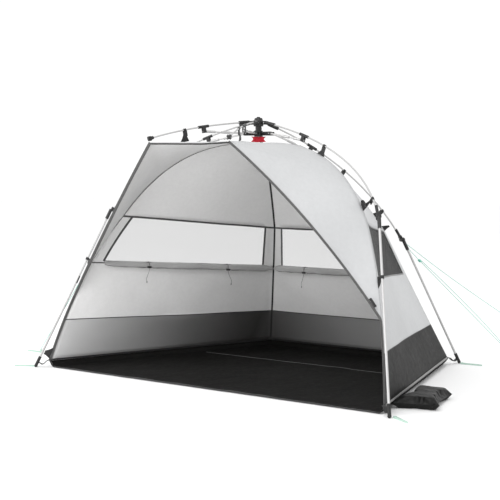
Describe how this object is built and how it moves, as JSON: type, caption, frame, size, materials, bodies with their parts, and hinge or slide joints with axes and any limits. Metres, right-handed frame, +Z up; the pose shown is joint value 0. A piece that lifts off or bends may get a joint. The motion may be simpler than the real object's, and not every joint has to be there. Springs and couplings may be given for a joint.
{
  "type": "tarp shelter",
  "caption": "Quick-up beach shelter: folding umbrella-type frame with a fabric cabin open at the front, windows, groundsheet, pegs and guylines.",
  "frame": {"origin": "on the ground under the hub axis, at the groundsheet underside", "axes": "+X to the right seen from the open front, +Y rearward, +Z up along the hub axis"},
  "size_m": [3.0549, 3.0111, 1.442],
  "materials": {
    "black_plastic": "moulded, fine texture",
    "red_webbing": "woven nylon strap",
    "tube": "light grey, semi-matte",
    "rubber": "matt",
    "canopy_fabric": "coated polyester, plain weave",
    "window_mesh": "see-through tinted mesh",
    "cover_fabric": "coated polyester, rolled",
    "floor_fabric": "coated woven sheet",
    "dark_fabric": "crinkled polyester",
    "webbing": "woven nylon tape",
    "peg_plastic": "moulded",
    "cord": "braided cord",
    "cord_plastic": "moulded"
  },
  "bodies": {
    "shelter": {"roof_front": "canopy_fabric", "front_strip_right": "canopy_fabric", "front_strip_left": "canopy_fabric", "wall_right": "canopy_fabric", "wall_left": "canopy_fabric", "wall_back": "canopy_fabric", "window_panels": "window_mesh", "window_covers": "cover_fabric", "groundsheet": "floor_fabric", "sand_pocket_right": "dark_fabric", "sand_pocket_left": "dark_fabric", "corner_straps": "webbing", "foot_pegs": "peg_plastic", "guyline_pegs": "peg_plastic", "guyline_rear_high": "cord", "guyline_rear_low": "cord", "guyline_front": "cord", "line_tensioner": "cord_plastic"},
    "crown": {"hub_crown": "black_plastic"},
    "button": {"release_button": "black_plastic"},
    "runner": {"runner": "black_plastic", "pull_strap": "red_webbing"},
    "arm_front_right": {"pole_front_right": "tube", "brackets_front_right": "black_plastic", "knee_front_right": "black_plastic"},
    "strut_front_right": {"strut_front_right": "tube"},
    "leg_front_right": {"socket_front_right": "black_plastic", "leg_front_right": "tube", "foot_front_right": "rubber"},
    "arm_front_left": {"pole_front_left": "tube", "brackets_front_left": "black_plastic", "knee_front_left": "black_plastic"},
    "strut_front_left": {"strut_front_left": "tube"},
    "leg_front_left": {"socket_front_left": "black_plastic", "leg_front_left": "tube", "foot_front_left": "rubber"},
    "arm_rear_right": {"pole_rear_right": "tube", "brackets_rear_right": "black_plastic", "knee_rear_right": "black_plastic"},
    "strut_rear_right": {"strut_rear_right": "tube"},
    "leg_rear_right": {"socket_rear_right": "black_plastic", "leg_rear_right": "tube", "foot_rear_right": "rubber"},
    "arm_rear_left": {"pole_rear_left": "tube", "brackets_rear_left": "black_plastic", "knee_rear_left": "black_plastic"},
    "strut_rear_left": {"strut_rear_left": "tube"},
    "leg_rear_left": {"socket_rear_left": "black_plastic", "leg_rear_left": "tube", "foot_rear_left": "rubber"},
    "arm_visor_right": {"pole_visor_right": "tube", "brackets_visor_right": "black_plastic", "tip_visor_right": "black_plastic"},
    "strut_visor_right": {"strut_visor_right": "tube"},
    "arm_visor_left": {"pole_visor_left": "tube", "brackets_visor_left": "black_plastic", "tip_visor_left": "black_plastic"},
    "strut_visor_left": {"strut_visor_left": "tube"}
  },
  "joints": [
    {"name": "frame_fold", "type": "slide", "parent": "shelter", "child": "crown", "axis": [0, 0, -1], "range_m": [0, 0.3], "deforming": ["roof_front", "front_strip_right", "front_strip_left", "wall_right", "wall_left", "wall_back", "window_panels", "window_covers", "sand_pocket_right", "sand_pocket_left", "corner_straps", "guyline_rear_high", "guyline_rear_low", "guyline_front", "line_tensioner", "pull_strap"]},
    {"name": "release_press", "type": "slide", "parent": "crown", "child": "button", "axis": [0, 0, -1], "range_m": [0, 0.005], "stiffness_N_per_m": 300},
    {"name": "runner_slide", "type": "slide", "parent": "crown", "child": "runner", "axis": [0, 0, -1], "range_m": [0, 0.46]},
    {"name": "arm_front_right_swing", "type": "hinge", "parent": "crown", "child": "arm_front_right", "pos_m": [0.04575, -0.00481, 1.408], "axis": [0.1045, 0.9945, 0], "range_deg": [0, 50.49]},
    {"name": "strut_front_right_swing", "type": "hinge", "parent": "arm_front_right", "child": "strut_front_right", "pos_m": [0.32536, -0.0346, 1.30893], "axis": [0.1045, 0.9945, 0], "range_deg": [-134.91, 0]},
    {"name": "leg_front_right_swing", "type": "hinge", "parent": "arm_front_right", "child": "leg_front_right", "pos_m": [0.908, -0.205, 0.913], "axis": [0.5752, -0.6803, 0.4542], "range_deg": [0, 219.01]},
    {"name": "arm_front_left_swing", "type": "hinge", "parent": "crown", "child": "arm_front_left", "pos_m": [-0.04575, -0.00481, 1.408], "axis": [0.1045, -0.9945, 0], "range_deg": [0, 50.49]},
    {"name": "strut_front_left_swing", "type": "hinge", "parent": "arm_front_left", "child": "strut_front_left", "pos_m": [-0.32536, -0.0346, 1.30893], "axis": [0.1045, -0.9945, 0], "range_deg": [-134.91, 0]},
    {"name": "leg_front_left_swing", "type": "hinge", "parent": "arm_front_left", "child": "leg_front_left", "pos_m": [-0.908, -0.205, 0.913], "axis": [0.5752, 0.6803, -0.4542], "range_deg": [0, 219.01]},
    {"name": "arm_rear_right_swing", "type": "hinge", "parent": "crown", "child": "arm_rear_right", "pos_m": [0.02492, 0.03867, 1.408], "axis": [-0.8406, 0.5417, 0], "range_deg": [0, 40.8]},
    {"name": "strut_rear_right_swing", "type": "hinge", "parent": "arm_rear_right", "child": "strut_rear_right", "pos_m": [0.16563, 0.25709, 1.25622], "axis": [-0.8406, 0.5417, 0], "range_deg": [-139.4, 0]},
    {"name": "leg_rear_right_swing", "type": "hinge", "parent": "arm_rear_right", "child": "leg_rear_right", "pos_m": [0.478, 0.743, 0.746], "axis": [0.8378, -0.5459, 0], "range_deg": [0, 180.01]},
    {"name": "arm_rear_left_swing", "type": "hinge", "parent": "crown", "child": "arm_rear_left", "pos_m": [-0.02492, 0.03867, 1.408], "axis": [-0.8406, -0.5417, 0], "range_deg": [0, 40.8]},
    {"name": "strut_rear_left_swing", "type": "hinge", "parent": "arm_rear_left", "child": "strut_rear_left", "pos_m": [-0.16563, 0.25709, 1.25622], "axis": [-0.8406, -0.5417, 0], "range_deg": [-139.4, 0]},
    {"name": "leg_rear_left_swing", "type": "hinge", "parent": "arm_rear_left", "child": "leg_rear_left", "pos_m": [-0.478, 0.743, 0.746], "axis": [0.8378, 0.5459, 0], "range_deg": [0, 180.01]},
    {"name": "arm_visor_right_swing", "type": "hinge", "parent": "crown", "child": "arm_visor_right", "pos_m": [0.01893, -0.04192, 1.408], "axis": [0.9114, 0.4115, 0], "range_deg": [0, 60.78]},
    {"name": "strut_visor_right_swing", "type": "hinge", "parent": "arm_visor_right", "child": "strut_visor_right", "pos_m": [0.13725, -0.30375, 1.35738], "axis": [0.9114, 0.4115, 0], "range_deg": [-135.6, 0]},
    {"name": "arm_visor_left_swing", "type": "hinge", "parent": "crown", "child": "arm_visor_left", "pos_m": [-0.01893, -0.04192, 1.408], "axis": [0.9114, -0.4115, 0], "range_deg": [0, 60.78]},
    {"name": "strut_visor_left_swing", "type": "hinge", "parent": "arm_visor_left", "child": "strut_visor_left", "pos_m": [-0.13725, -0.30375, 1.35738], "axis": [0.9114, -0.4115, 0], "range_deg": [-135.6, 0]}
  ],
  "couplings": [
    {"joint": "runner_slide", "follows": "frame_fold", "ratio": 1.5333},
    {"joint": "arm_front_right_swing", "follows": "frame_fold", "rad_per_m": 2.9368},
    {"joint": "strut_front_right_swing", "follows": "frame_fold", "rad_per_m": -7.8482},
    {"joint": "leg_front_right_swing", "follows": "frame_fold", "rad_per_m": 12.741},
    {"joint": "arm_front_left_swing", "follows": "frame_fold", "rad_per_m": 2.9368},
    {"joint": "strut_front_left_swing", "follows": "frame_fold", "rad_per_m": -7.8482},
    {"joint": "leg_front_left_swing", "follows": "frame_fold", "rad_per_m": 12.741},
    {"joint": "arm_rear_right_swing", "follows": "frame_fold", "rad_per_m": 2.373},
    {"joint": "strut_rear_right_swing", "follows": "frame_fold", "rad_per_m": -8.1092},
    {"joint": "leg_rear_right_swing", "follows": "frame_fold", "rad_per_m": 10.472},
    {"joint": "arm_rear_left_swing", "follows": "frame_fold", "rad_per_m": 2.373},
    {"joint": "strut_rear_left_swing", "follows": "frame_fold", "rad_per_m": -8.1092},
    {"joint": "leg_rear_left_swing", "follows": "frame_fold", "rad_per_m": 10.472},
    {"joint": "arm_visor_right_swing", "follows": "frame_fold", "rad_per_m": 3.5352},
    {"joint": "strut_visor_right_swing", "follows": "frame_fold", "rad_per_m": -7.8883},
    {"joint": "arm_visor_left_swing", "follows": "frame_fold", "rad_per_m": 3.5352},
    {"joint": "strut_visor_left_swing", "follows": "frame_fold", "rad_per_m": -7.8883}
  ]
}
